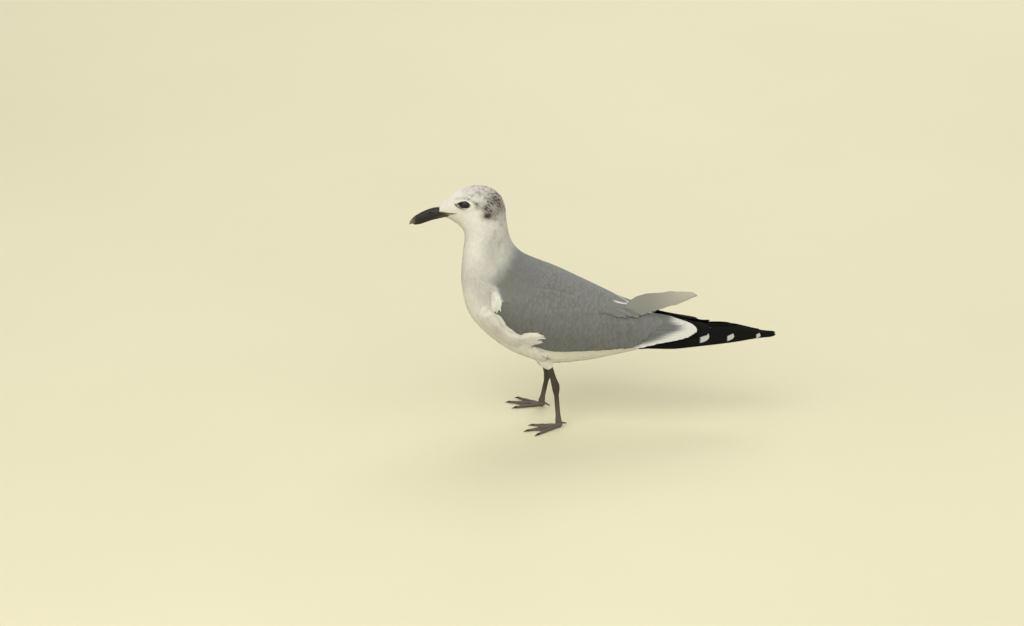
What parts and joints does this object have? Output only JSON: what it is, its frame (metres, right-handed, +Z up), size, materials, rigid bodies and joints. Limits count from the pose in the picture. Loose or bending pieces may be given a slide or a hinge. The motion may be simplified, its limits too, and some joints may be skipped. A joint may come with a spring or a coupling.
{
  "type": "laughing gull",
  "caption": "Life-size still model of an adult laughing gull in winter plumage, standing on webbed feet with folded wings.",
  "frame": {"origin": "on the floor under the middle of the bird's bounding box", "axes": "-X is the way the bird faces, -Y is its left side, +Z is up"},
  "size_m": [0.4184, 0.1159, 0.2844],
  "materials": {
    "white_plumage": "soft matt white plumage",
    "grey_plumage": "soft slate-grey plumage",
    "black_plumage": "slightly glossy black flight feathers",
    "bill_horn": "satin blackish horn",
    "leg_skin": "dark scaly skin",
    "eye": "wet, very dark brown"
  },
  "bodies": {
    "root": {"head": "white_plumage", "neck": "white_plumage", "torso": "white_plumage", "tail": "white_plumage", "thigh_left": "white_plumage", "thigh_right": "white_plumage", "wing_left_arm": "grey_plumage", "wing_right_arm": "grey_plumage", "wing_left_secondaries": "grey_plumage", "wing_right_secondaries": "grey_plumage", "wing_left_primaries": "black_plumage", "wing_right_primaries": "black_plumage", "bill_upper": "bill_horn", "bill_lower": "bill_horn", "eye_left": "eye", "eye_right": "eye", "tibia_left": "leg_skin", "tibia_right": "leg_skin", "tarsus_left": "leg_skin", "tarsus_right": "leg_skin", "foot_left": "leg_skin", "foot_right": "leg_skin"}
  },
  "joints": []
}
